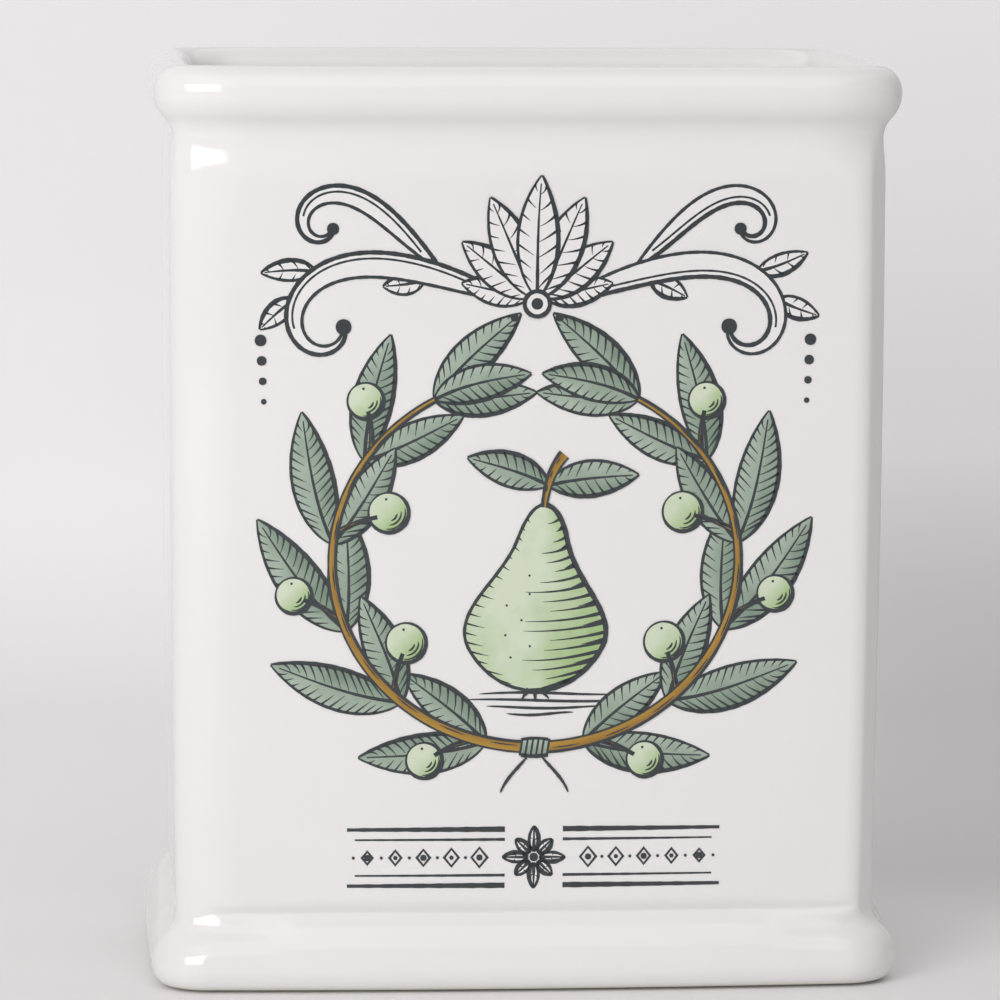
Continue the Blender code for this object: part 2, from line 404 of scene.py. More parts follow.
def facetPath():
    # the flattened corner against the meeting point of the two sides, from the side to the face:
    # an arc, a straight stretch and a tighter arc
    tilt = math.atan2(jar["facetWidth"], jar["facetDepth"])
    backTurn = np.linspace(0.0, tilt, 9)
    backLength = jar["facetBack"] * math.tan(tilt / 2)
    back = np.stack([-jar["facetBack"] * (1 - np.cos(backTurn)),
                     jar["facetBack"] * np.sin(backTurn) - backLength - jar["facetDepth"]], axis=1)
    frontTurn = np.linspace(tilt, math.pi / 2, jar["cornerSteps"] - 12)
    frontLength = jar["facetEdge"] * math.tan((math.pi / 2 - tilt) / 2)
    front = np.stack([jar["facetEdge"] * np.cos(frontTurn) - frontLength - jar["facetWidth"],
                      -jar["facetEdge"] * (1 - np.sin(frontTurn))], axis=1)
    share = np.linspace(0.0, 1.0, 6)[1:-1, None]
    flat = back[-1] * (1 - share) + front[0] * share
    return np.concatenate([back, flat, front])


def outlineRule():
    # Each point of the outline is corner centre * (px, py) + corner radius * (qx, qy).
    # (fx, fy) is the flattened corner's offset, and flat how far it applies.
    # Roll is 1 half way along a side and 0 at its ends. Groove is 1 along a face and ends in the corners, and
    # on the narrow sides it follows roll.
    parts = []
    facet = facetPath()
    for quarter, (sx, sy) in enumerate(((1, 1), (-1, 1), (-1, -1), (1, -1))):
        towardsFace = quarter % 2 == 0
        turns = arc(90 * quarter, 90 * quarter + 90, jar["cornerSteps"] + 1)
        sign = np.ones(turns.size)
        path = facet if towardsFace else facet[::-1]
        flat = sign * (jar["facetRight"] if sx > 0 else jar["facetLeft"])
        way = np.linspace(0.0, 1.0, turns.size)
        groove = ease(way if towardsFace else way[::-1], jar["grooveEnd"], 1.0)
        parts.append([sx * sign, sy * sign, np.cos(turns), np.sin(turns), path[:, 0], path[:, 1], flat,
                      0 * sign, groove])
        # a face after such a corner, otherwise a side: its points lie at sin(crowding t) / sin(crowding)
        steps = jar["faceSteps"] if towardsFace else jar["sideSteps"]
        share = np.sin(np.linspace(jar["crowding"], -jar["crowding"], steps + 1)[1:-1])
        share = share / math.sin(jar["crowding"])
        none = np.zeros(share.size)
        roll = ease(1 - np.abs(share), 0.0, jar["creaseFace"] if towardsFace else jar["creaseSide"])
        if towardsFace:
            parts.append([sx * share, none + sy, none, none + sy, none, none, none, roll, none + 1])
        else:
            parts.append([none + sx, sy * share, none + sx, none, none, none, none, roll, roll])
    return [np.concatenate(rows) for rows in zip(*parts)]


def waveDepth(across, along, z):
    # 0 to waveHeight: two crossed pairs of waves, (x, y) as shares of the half sides, z in metres
    turns = [a * across + b * along + c * z + start for a, b, c, start in jar["waves"]]
    first = np.sin(turns[0]) * np.sin(turns[1])
    second = np.sin(turns[2]) * np.cos(turns[3])
    return jar["waveHeight"] * (0.5 + 0.32 * first + 0.18 * second)


def loftPoints(out, z, radius, stretch, facet, crease, groove):
    # rectangles with elliptical corners whose sides bow by
    # bow * (1 - (distance from the middle / half length) ** 2)
    px, py, qx, qy, fx, fy, corner, roll, grooved = outlineRule()
    out = out[:, None] + crease[:, None] * roll + groove[:, None] * grooved - waveDepth(px, py, z[:, None])
    depthRadius = radius[:, None]
    widthRadius = depthRadius + stretch[:, None]
    flat = facet[:, None] * corner
    halfWidth = jar["neckWidth"] / 2 + out
    halfDepth = jar["neckDepth"] / 2 + out
    cornerX = halfWidth - widthRadius
    cornerY = halfDepth - depthRadius
    x = (1 - flat) * (cornerX * px + widthRadius * qx) + flat * px * (halfWidth + fx)
    y = (1 - flat) * (cornerY * py + depthRadius * qy) + flat * py * (halfDepth + fy)
    bowedX = x + np.sign(x) * jar["sideBow"] * (1 - (y / halfDepth) ** 2) * np.minimum(1, np.abs(x) / cornerX)
    bowedY = y + np.sign(y) * jar["faceBow"] * (1 - (x / halfWidth) ** 2) * np.minimum(1, np.abs(y) / cornerY)
    return np.stack([bowedX, bowedY, np.broadcast_to(z[:, None], x.shape)], axis=2)


def basePath():
    # out and height of the recess and the foot ring, their edges eased, and of the quarter turn to the foot
    edge = jar["footRingEdge"]
    slope = jar["recessDepth"] / jar["recessSlope"]
    ringOut = np.array([recessEdge - inwards for inwards in jar["baseRings"]]
                       + [recessEdge - edge, recessEdge, recessEdge + edge, ringInner - edge, ringInner,
                          ringInner + edge, (ringInner + ringOuter) / 2, ringOuter - edge])
    ringHeight = np.array([recessZ, recessZ, recessZ, recessZ - 0.25 * edge, recessZ - edge * slope,
                           ringZ + edge * slope, ringZ + 0.25 * edge, ringZ, ringZ, ringZ])
    turn = arc(0, 90, 19)[:-1]
    return (np.concatenate([ringOut, ringOuter + jar["footTuck"] * np.sin(turn)]),
            np.concatenate([ringHeight, footWidestZ - jar["footRound"] * np.cos(turn)]))


def footPath():
    # out, height and crease of the foot: a soft cove at the corners, a tight crease along the sides
    corner = (jar["footProud"], jar["footCornerRise"], jar["footCornerCove"])
    side = (jar["footProud"] + jar["heelDip"], jar["footRise"], jar["footCrease"])
    h = np.unique(np.round(np.concatenate([ogeeHeights(*corner, 12), ogeeHeights(*side, 9)]), 6))
    out = ogeeOut(np.minimum(h, jar["footCornerRise"]), *corner)
    crease = ogeeOut(h, *side) - jar["heelDip"] - out
    return out - jar["draft"], footWidestZ + h, crease


def wallPath():
    # out, height and crease of the wall, drawn in under the rim
    dense = footTopZ + jar["heelRows"]
    z = np.concatenate([np.linspace(footTopZ, dense, 13)[1:], np.linspace(dense, neckZ, 70)[1:-1]])
    dip = jar["neckDip"] * ease(z, neckZ - jar["neckReach"], neckZ)
    heel = -jar["heelDip"] * (1 - np.clip((z - footTopZ) / jar["heelReach"], 0.0, 1.0)) ** 2
    return wallOut(z) - dip, z, heel


def underRimPath():
    # out and height of the ogee under the rim
    shape = (jar["rimProud"] + jar["neckDip"], jar["rimUndercut"], jar["rimCove"])
    h = np.unique(np.round(ogeeHeights(*shape, 12), 6))[::-1]
    return ogeeOut(h, *shape) - jar["neckDip"], rimWidestZ - h


def rimPath():
    # out, height, corner radius and stretch of the rim: half an ellipse from the bead to the inner wall
    crestOut = (jar["rimProud"] - jar["wall"]) / 2
    lipHalf = (jar["rimProud"] + jar["wall"]) / 2
    turn = arc(0, 180, 41)[1:]
    out = crestOut + lipHalf * np.cos(turn)
    share = np.clip((crestOut - out) / lipHalf, 0.0, 1.0)
    crestRadius = jar["cornerRadius"] + crestOut
    radius = np.where(share > 0, crestRadius * (1 - share) + jar["innerCornerRadius"] * share,
                      jar["cornerRadius"] + out)
    stretch = jar["stretchRim"] * ease(out, crestOut - lipHalf, crestOut + 0.001)
    return out, rimWidestZ + jar["rimRound"] * np.sin(turn), radius, stretch


def innerPath():
    # out, height and corner radius inside: wall, floor fillet, floor
    filletTop = floorZ + jar["floorFillet"]
    z = np.linspace(rimWidestZ, filletTop, 30)[1:]
    out = wallOut(z) - jar["wall"]
    turn = arc(0, 90, 15)[1:]
    inwards = jar["floorFillet"] * (1 - np.cos(turn))
    filletOut = out[-1] - inwards
    filletRadius = np.maximum(jar["innerCornerRadius"] - jar["filletTaper"] * inwards,
                              jar["recessCorner"] / 2)
    return (np.concatenate([out, filletOut, filletOut[-1] - np.array(jar["floorRings"])]),
            np.concatenate([z, filletTop - jar["floorFillet"] * np.sin(turn), np.full(2, floorZ)]),
            np.concatenate([np.full(z.size, jar["innerCornerRadius"]), filletRadius,
                            np.full(2, jar["recessCorner"] / 2)]))


def vesselProfile():
    # out, height, corner radius, corner stretch, facet, crease and groove of each ring of points,
    # from the recess under the base, over the rim, to the inner floor
    baseOut, baseZ = basePath()
    footOut, footZ, footCrease = footPath()
    sideOut, sideZ, heel = wallPath()
    underOut, underZ = underRimPath()
    out = np.concatenate([baseOut, footOut, sideOut, underOut])
    z = np.concatenate([baseZ, footZ, sideZ, underZ])
    radius = np.maximum(jar["cornerRadius"] + out, jar["recessCorner"])    # concentric corners outside
    high, low = jar["neckBlend"]
    stretch = (jar["stretchFoot"] + (jar["stretchWall"] - jar["stretchFoot"]) * ease(z, footWidestZ, footTopZ)
               + (jar["stretchNeck"] - jar["stretchWall"]) * ease(z, neckZ - high, neckZ - low)
               + (jar["stretchRim"] - jar["stretchNeck"]) * ease(z, neckZ, rimWidestZ))
    below, above = jar["facetFade"]
    facet = ease(z, jar["facetStart"], footTopZ) * (1 - ease(z, neckZ - below, neckZ + above))
    crease = np.concatenate([np.zeros(baseZ.size), footCrease, heel, np.zeros(underZ.size)])
    groove = -jar["grooveDip"] * np.exp(-((z - footTopZ) / jar["grooveReach"]) ** 2)
    outer = (out, z, radius, stretch, facet, crease - groove, groove)
    rim = rimPath()
    inner = innerPath()
    rim += (np.zeros(rim[0].size),) * 3
    inner += (np.zeros(inner[0].size),) * 4
    return [np.concatenate(rows) for rows in zip(outer, rim, inner)]


def buildVessel():
    # one closed loft of rings
    vessel = closedShell("glazedVessel", loftPoints(*vesselProfile()), whiteGlaze)
    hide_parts("vessel")
    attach(vessel, "root")


buildVessel()
print("vessel lofted")


# The pads under the base

pad = {
    "radius": 0.005,
    "edge": 0.0004,
    "inset": 0.003,
    "seatGap": 0.0003,
    "around": 64,
}


def buildPad(name, node, sideX, sideY):
    # a disc turned about its own axis: flat top, upright side, rounded lower edge, flat foot
    top = recessZ - pad["seatGap"]
    turn = arc(0, 90, 7)
    r = np.concatenate([[0.001, pad["radius"] - pad["edge"] * 0.5, pad["radius"]],
                        pad["radius"] - pad["edge"] * (1 - np.cos(turn)), [0.001]])
    z = np.concatenate([[top, top, top - pad["edge"] * 0.3], pad["edge"] * (1 - np.sin(turn)), [0.0]])
    around = np.linspace(0, 2 * math.pi, pad["around"], endpoint=False)
    centreX = sideX * (jar["neckWidth"] / 2 + recessEdge - pad["inset"] - pad["radius"])
    centreY = sideY * (jar["neckDepth"] / 2 + recessEdge - pad["inset"] - pad["radius"])
    grid = np.stack([centreX + np.outer(r, np.cos(around)), centreY + np.outer(r, np.sin(around)),
                     np.repeat(z[:, None], around.size, axis=1)], axis=2)
    piece = closedShell(name, grid, softPad, downwards=True)
    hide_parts(node)
    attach(piece, "root")


for end, sideY in (("front", -1), ("back", 1)):
    for hand, sideX in (("left", -1), ("right", 1)):
        buildPad(f"standPad_{end}_{hand}", f"pad_{end}_{hand}", sideX, sideY)
print("pads turned")


# The print fired onto the front. Its paths and patches are in millimetres: x from the design's middle,
# z up from the table. Layers are numbered from the glaze outwards.

ink = {
    "sunk": 0.00006,        # how far the ink reaches into the glaze
    "lift": 0.00003,        # height of the first layer over the glaze
    "layer": 0.000012,      # height of each layer over the last
    "centre": 0.001,        # the design's middle, along x
    "bold": 0.00086,        # widths of the lines
    "plain": 0.00064,
    "fine": 0.00044,
    "wobble": 0.11,         # share of a line's width that the hand-drawn edge comes and goes
}
mm = 0.001
sheets = {"line": [], "leaf": [], "fruit": [], "stem": [], "blank": []}


def spots(x, z):
    # the places (x, z) as one array
    return np.stack(np.broadcast_arrays(x, z), axis=-1)


def frontY(x, z):
    # the front of the wall: half the depth, plus the bow times 1 - (x / half width) ** 2
    out = wallOut(z)
    halfDepth = jar["neckDepth"] / 2 + out
    halfWidth = jar["neckWidth"] / 2 + out
    return -(halfDepth + jar["faceBow"] * (1 - (x / halfWidth) ** 2))


def place(path):
    # millimetres from the design's middle to metres on the jar
    return path * mm + np.array([ink["centre"], 0.0])


def addSlab(sheet, plan, layer, wash=0.5, wrap=False):
    # plan is a grid of (x, z) places in metres: its outline becomes a thin slab that follows the wall
    wash = np.broadcast_to(wash, plan.shape[:2])
    along = plan[1:, :-1] - plan[:-1, :-1]
    across = plan[:-1, 1:] - plan[:-1, :-1]
    if (along[..., 0] * across[..., 1] - along[..., 1] * across[..., 0]).sum() < 0:
        plan, wash = plan[:, ::-1], wash[:, ::-1]
    sheets[sheet].append((plan, ink["lift"] + ink["layer"] * layer, wash, wrap))


def addPatch(sheet, plan, layer, wash=0.5):
    # the same for a grid in millimetres
    addSlab(sheet, place(plan), layer, wash)


def slabMesh(plan, lift, wash, wrap):
    # front grid, back grid and the strips that close them
    x, z = plan[..., 0], plan[..., 1]
    y = frontY(x, z)
    points = np.concatenate([np.stack([x, y - lift, z], axis=-1).reshape(-1, 3),
                             np.stack([x, y + ink["sunk"], z], axis=-1).reshape(-1, 3)])
    index = np.arange(x.size).reshape(x.shape)
    if wrap:
        index = np.concatenate([index, index[:1]])
    back = index + x.size
    faces = [quads(index[:-1, :-1], index[1:, :-1], index[1:, 1:], index[:-1, 1:]),
             quads(back[:-1, :-1], back[:-1, 1:], back[1:, 1:], back[1:, :-1]),
             quads(index[:-1, 0], back[:-1, 0], back[1:, 0], index[1:, 0]),
             quads(index[:-1, -1], index[1:, -1], back[1:, -1], back[:-1, -1])]
    if not wrap:
        faces += [quads(index[0, :-1], index[0, 1:], back[0, 1:], back[0, :-1]),
                  quads(index[-1, :-1], back[-1, :-1], back[-1, 1:], index[-1, 1:])]
    return points, np.concatenate(faces), np.tile(wash.reshape(-1), 2)


def buildSheet(name, sheet, material):
    # all slabs of one ink as one piece, with their wash as an attribute
    points, faces, washes = zip(*(slabMesh(*entry) for entry in sheets[sheet]))
    starts = np.cumsum([0] + [len(part) for part in points[:-1]])
    faces = np.concatenate([part + start for part, start in zip(faces, starts)])
    piece = newMeshObject(name, np.concatenate(points), faces.tolist(), material, smooth=False)
    wash = piece.data.attributes.new("wash", "FLOAT", "POINT")
    wash.data.foreach_set("value", np.concatenate(washes).astype(np.float32))
    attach(piece, "root")
    print(name, len(faces) * 2, "triangles")


def sideways(path, wrap=False):
    # unit directions to the left of a path
    along = np.roll(path, -1, axis=0) - np.roll(path, 1, axis=0) if wrap else np.gradient(path, axis=0)
    along = along / np.maximum(np.linalg.norm(along, axis=1, keepdims=True), 1e-9)
    return np.stack([-along[:, 1], along[:, 0]], axis=1)


def ribbon(path, width, wrap=False):
    # a line of the given width along a path of (x, z) places, all in metres
    # the width comes and goes by wobble * (0.6 sin(1.9 s) + 0.4 sin(4.7 s)), s in mm along the line
    step = np.linalg.norm(np.diff(path, axis=0), axis=1)
    run = np.concatenate([[0.0], np.cumsum(step)]) / mm + path[0, 0] * 3000 + path[0, 1] * 1700
    wobble = 1 + ink["wobble"] * (0.6 * np.sin(1.9 * run) + 0.4 * np.sin(4.7 * run))
    half = np.broadcast_to(width, len(path)) * wobble / 2
    aside = sideways(path, wrap) * half[:, None]
    return np.stack([path - aside, path + aside], axis=1)


def drawLine(path, width, layer, wrap=False):
    # a path in millimetres, a width in metres
    addSlab("line", ribbon(place(path), width, wrap), layer, wrap=wrap)


def swell(count, low=0.25, power=0.6):
    # pen pressure along a line: thin at both ends, full in the middle
    return low + (1 - low) * np.sin(np.linspace(0.0, math.pi, count)) ** power


def sweep(start, heading, length, bendStart, bendEnd, power=1.0, count=60):
    # a curve whose bend (degrees per mm) runs from bendStart to bendEnd; heading in degrees
    t = np.linspace(0.0, 1.0, count)
    step = length / (count - 1)
    bend = np.radians(bendStart + (bendEnd - bendStart) * t ** power)
    turn = math.radians(heading) + np.concatenate([[0.0], np.cumsum((bend[1:] + bend[:-1]) / 2 * step)])
    middle = (turn[1:] + turn[:-1]) / 2
    x = start[0] + np.concatenate([[0.0], np.cumsum(np.cos(middle) * step)])
    z = start[1] + np.concatenate([[0.0], np.cumsum(np.sin(middle) * step)])
    return spots(x, z)


def headingOf(start, end):
    # direction from one place to another, in degrees
    return math.degrees(math.atan2(end[1] - start[1], end[0] - start[0]))


def sided(path, side):
    # side 1 leaves a path as it is, -1 mirrors it in the design's middle
    return path * np.array([float(side), 1.0])


def offset(path, distance):
    # the path moved to its left
    return path + sideways(path) * np.broadcast_to(distance, len(path))[:, None]


def disc(centre, radius, count):
    # a round grid: a square's (u, v) goes to (u sqrt(1 - v^2 / 2), v sqrt(1 - u^2 / 2))
    u, v = np.meshgrid(np.linspace(-0.97, 0.97, count), np.linspace(-0.97, 0.97, count), indexing="ij")
    x = u * np.sqrt(1 - v ** 2 / 2)
    z = v * np.sqrt(1 - u ** 2 / 2)
    return spots(centre[0] + radius * x, centre[1] + radius * z), x, z


def ring(centre, radius, start=0.0, end=360.0, count=49):
    # an arc between two angles in degrees
    turn = arc(start, end, count)
    return spots(centre[0] + radius * np.cos(turn), centre[1] + radius * np.sin(turn))


def drawDot(centre, radius, layer=8):
    # a filled dot of line ink
    addPatch("line", disc(centre, radius, 7)[0], layer)


# Leaves, engraved: fill, outline, midrib and hatching

leafLook = {
    "steps": 34,
    "edge": 0.98,           # the outline's place, as a share of the half width
    "darkSide": -1,         # the hatching darkens the right of the midrib, seen towards the tip
    "hatchGap": 1.55,       # mm along the midrib
    "hatchFrom": 0.07,      # shares of the midrib that the hatches start from
    "hatchTo": 0.84,
    "hatchTip": 0.97,       # where they end, as a share of the half width
    "slant": 0.11,          # how far a hatch runs towards the tip
    "rib": 0.80,            # widths against the plain line
    "darkEdge": 1.45,
    "lightEdge": 0.95,
}


def leafFrame(base, heading, length, width, bend):
    # midrib points, the directions across it and the half width 3.3 s^0.8 (1 - s)^0.95
    s = np.linspace(0.0, 1.0, leafLook["steps"]) * 0.992 + 0.004
    tipBend = bend * 0.2 - 0.5 * math.copysign(1.0, bend)
    rib = sweep(base, heading, length, bend, tipBend, count=leafLook["steps"])
    half = width / 2 * 3.3 * s ** 0.8 * (1 - s) ** 0.95
    return s, rib, sideways(rib), half


def onLeaf(leaf, s, t):
    # the place at share s of the midrib and share t of the half width
    shares, rib, across, half = leaf
    pick = [np.interp(s, shares, row) for row in (rib[:, 0], rib[:, 1], across[:, 0], across[:, 1], half)]
    return spots(pick[0] + pick[2] * pick[4] * t, pick[1] + pick[3] * pick[4] * t)


def drawLeaf(base, heading, length, width, bend, layer, openHatches=None):
    # filled and hatched by its length, or left open with the given number of hatches
    leaf = leafFrame(base, heading, length, width, bend)
    shares = leaf[0]
    dark = leafLook["darkSide"]
    s, t = np.meshgrid(shares, np.linspace(-1.0, 1.0, 9), indexing="ij")
    if openHatches is None:
        wash = 0.42 + 0.38 * dark * t + 0.25 * (0.4 - s) + 0.25 * np.abs(t) * (1 - np.abs(t))
        addPatch("leaf", onLeaf(leaf, s, t), layer, np.clip(wash, 0.0, 1.0))
        count = int(0.78 * length / leafLook["hatchGap"])
    else:
        addPatch("blank", onLeaf(leaf, s, t), layer)
        count = openHatches
    plain, fine, layer = ink["plain"], ink["fine"], layer + 1
    for side, weight, low in ((dark, leafLook["darkEdge"], 0.4), (-dark, leafLook["lightEdge"], 0.5)):
        edge = onLeaf(leaf, shares, side * leafLook["edge"])
        drawLine(edge, plain * weight * swell(shares.size, low), layer)
    ribShare = np.linspace(0.0, 0.93, 20)
    drawLine(onLeaf(leaf, ribShare, 0.0), plain * leafLook["rib"] * (1.5 - 1.1 * ribShare), layer)
    tip = leafLook["hatchTip"]
    step = np.linspace(0.0, 1.0, 7)
    for number, start in enumerate(np.linspace(leafLook["hatchFrom"], leafLook["hatchTo"], count)):
        reach = leafLook["slant"] * (1.15 - 0.5 * start)
        # on the dark side from near the midrib, on the light side from further out
        depth = 0.10 + 0.10 * math.sin(number * 2.4) if number % 3 else 0.02
        out = dark * (depth + (tip - depth) * step ** 0.85)
        drawLine(onLeaf(leaf, start + reach * step, out), fine * (0.25 + 1.05 * step), layer)
        depth = 0.34 + 0.16 * math.sin(number * 1.9 + 1.0)
        out = -dark * (depth + (tip - depth) * step)
        along = start + reach * (depth + (1 - depth) * step)
        drawLine(onLeaf(leaf, along, out), fine * (0.20 + 0.80 * step), layer)


# Berries and twigs of the wreath

wreath = {
    "centre": (0.0, 83.5),      # mm from the design's middle, and up from the table
    "width": 39.0,              # half axes of the oval that the twigs follow
    "height": 36.0,
    "root": -90.0,              # degrees round the oval: where the twigs start,
    "start": -76.0,             # where their first pair of leaves stands, and the last one
    "end": 60.0,
    "nodes": 6,                 # pairs of leaves
    "leafLength": 27.5,
    "leafWidth": 8.6,
    "shrink": 0.05,             # how much shorter each pair is, counted both ways from the third
    "spread": 29.0,             # degrees between a leaf and the twig, and how far that swings
    "swing": 4.0,
    # leaves outside and inside the oval: added spread, shares of leafLength and leafWidth, bend
    "outerLeaf": (3.0, 1.0, 1.0, 1.5),
    "innerLeaf": (5.0, 0.84, 0.92, -1.2),
    "tipLeaf": (0.7, 0.8, 2.2),     # the same shares and bend for the last leaf
    # berries outside and inside it: degrees past their leaves, scale of the oval they lie on, lean of the
    # stalk, size
    "outerBerry": (13.0, 1.20, -12.0, 0.9),
    "innerBerry": (14.5, 0.77, 12.0, 1.0),
    "berry": 3.9,
    "berryArcs": ((0.82, -100.0, 18.0), (0.62, -88.0, 6.0), (0.42, -74.0, -6.0)),   # radius, from, to
    "berryEye": (-0.12, 0.66, 0.26),    # place of its dot against the radius, and the dot's own radius
    "twig": 2.1,
    "stalk": 0.75,
    # where a stalk starts in degrees past the leaves, its share of the way to the berry, bend for its lean
    "stalkWay": (3.0, 0.8, 0.22),
    "taper": 0.42,              # width of a twig's tip against its root
}


def drawBerry(centre, radius, layer):
    # a washed disc, its outline, arcs of shading and a dot
    plan, x, z = disc(centre, radius, 11)
    # x and z run from -1 to 1 across the berry, so the wash darkens to the lower right
    wash = np.clip(0.30 + 0.75 * np.clip(0.75 * x - 0.75 * z, -0.4, 1.0), 0.0, 1.0)
    addPatch("fruit", plan, layer, wash)
    turn = np.linspace(0.0, 2 * math.pi, 49)[:-1]
    drawLine(ring(centre, radius * 0.985)[:-1], ink["plain"] * (0.95 + 0.45 * np.cos(turn + 0.8)), layer + 1,
             wrap=True)
    for share, start, end in wreath["berryArcs"]:
        drawLine(ring(centre, radius * share, start, end, 14), ink["fine"] * 0.95 * swell(14, 0.2), layer + 1)
    x, z, dot = wreath["berryEye"]
    drawDot((centre[0] + radius * x, centre[1] + radius * z), dot, layer + 2)


def drawTwig(path, thick, layer, ticks=1):
    # an ochre twig with dark edges and short grain lines
    count = len(path)
    width = thick * np.linspace(1.0, wreath["taper"], count)
    right, left = offset(path, -width / 2), offset(path, width / 2)
    wash = np.stack([np.full(count, 0.9), np.full(count, 0.15)], axis=1)
    addPatch("stem", np.stack([right, left], axis=1), layer, wash)
    drawLine(right, ink["plain"] * 0.95, layer + 1)
    drawLine(left, ink["fine"] * 0.9, layer + 1)
    for start in range(2, count - 4, max((count - 6) // ticks, 1)):
        grain = offset(path, -width * 0.12)[start:start + 4]
        drawLine(grain, ink["fine"] * 0.7 * swell(4, 0.3), layer + 1)


def ovalPlace(side, angle, scale=1.0):
    # the place at an angle of the wreath's oval, in degrees
    turn = np.radians(angle)
    return sided(spots(wreath["centre"][0] + wreath["width"] * scale * np.cos(turn),
                       wreath["centre"][1] + wreath["height"] * scale * np.sin(turn)), side)


def drawWreathSide(side):
    # side 1 is the right half, -1 the left, drawn mirrored but hatched on its own shaded side
    turns = np.linspace(wreath["root"], wreath["end"], 60)
    drawTwig(ovalPlace(side, turns), wreath["twig"], 12, 9)
    for number, angle in enumerate(np.linspace(wreath["start"], wreath["end"], wreath["nodes"])):
        here = ovalPlace(side, angle)
        heading = headingOf(here, ovalPlace(side, angle + 1.0))
        size = 1.0 - wreath["shrink"] * abs(number - 2)
        spread = wreath["spread"] + wreath["swing"] * math.sin(number * 2.1)
        length = wreath["leafLength"] * size
        width = wreath["leafWidth"] * size
        low = 2 * (number % 2)
        more, longer, wider, bend = wreath["outerLeaf"]
        drawLeaf(here, heading - side * (spread + more), length * longer, width * wider, side * bend, 2 + low)
        more, longer, wider, bend = wreath["innerLeaf"]
        drawLeaf(here, heading + side * (spread + more), length * longer, width * wider, side * bend, 3 + low)
        if number == wreath["nodes"] - 1:
            continue    # the last pair of leaves has no berry
        # berries by turns outside and inside the oval
        past, scale, lean, larger = wreath["innerBerry" if number % 2 else "outerBerry"]
        stalkPast, share, curl = wreath["stalkWay"]
        berry = ovalPlace(side, angle + past, scale)
        start = ovalPlace(side, angle + stalkPast)
        reach = float(np.hypot(*(berry - start))) * share
        bend = side * lean * curl
        stalk = sweep(start, headingOf(start, berry) - side * lean, reach, bend, bend, count=12)
        drawTwig(stalk, wreath["stalk"], 10)
        drawBerry(berry, wreath["berry"] * larger, 9)
    tip = ovalPlace(side, wreath["end"])
    heading = headingOf(ovalPlace(side, wreath["end"] - 2.0), tip)
    longer, wider, bend = wreath["tipLeaf"]
    drawLeaf(tip, heading, wreath["leafLength"] * longer, wreath["leafWidth"] * wider, side * bend, 8)


# The pear in the middle

pear = {
    "foot": (0.0, 58.5),
    "height": 36.0,
    "width": 28.0,
    "lean": 1.6,            # how far the neck leans to the right
    "hatches": 18,
    "sag": 0.055,           # how far a hatch sags, as a share of the height
    "layer": 10,
    "stalk": (84.0, 11.0, -1.5, -5.0),      # heading, length and bend at both ends
    "stalkWidth": 1.9,
    "leaves": ((14.0, 17.5, 7.0, -1.4), (152.0, 16.5, 6.6, 1.7)),      # heading, length, width, bend
    "flecks": ((0.30, -0.42), (0.38, -0.20), (0.24, -0.08), (0.46, -0.46), (0.52, -0.12), (0.18, -0.40),
               (0.62, -0.2)),
    "fleck": 0.24,
    # lean of the outer two of its three lines, how far out they start for that, height, length, last bend
    "calyx": (38.0, 0.03, 0.3, 2.4, 6.0),
    "ground": ((15.0, 0.0), (18.5, 1.3), (13.0, 2.6), (7.5, 3.9)),     # reach and depth of each line
    "groundLines": (0.72, 0.6, 0.25),   # their left reach against the right, depth of the first, waves
}


def pearHalf(t):
    # half width at share t of the height: an ellipse, narrowed to 0.4 of itself at the neck
    body = 2 * np.sqrt(np.clip(t * (1 - t), 0.0, 1.0))
    return pear["width"] / 2 * 1.10 * body * (1 - 0.60 * ease(t, 0.22, 0.82))


def onPear(t, v):
    # the place at share t of the height and share v of the half width
    lean = pear["lean"] * ease(t, 0.4, 1.0)
    return spots(pear["foot"][0] + lean + pearHalf(t) * v, pear["foot"][1] + pear["height"] * t)


def drawPearHatch(share, across, width, fade=1.0):
    # a hatch at a share of the height that sags by sag (1 - v^2), v its share of the half width
    drop = pear["sag"] * (1 - across ** 2) * fade
    drawLine(onPear(np.clip(share - drop, 0.005, 0.995), across), ink["fine"] * width, pear["layer"] + 1)


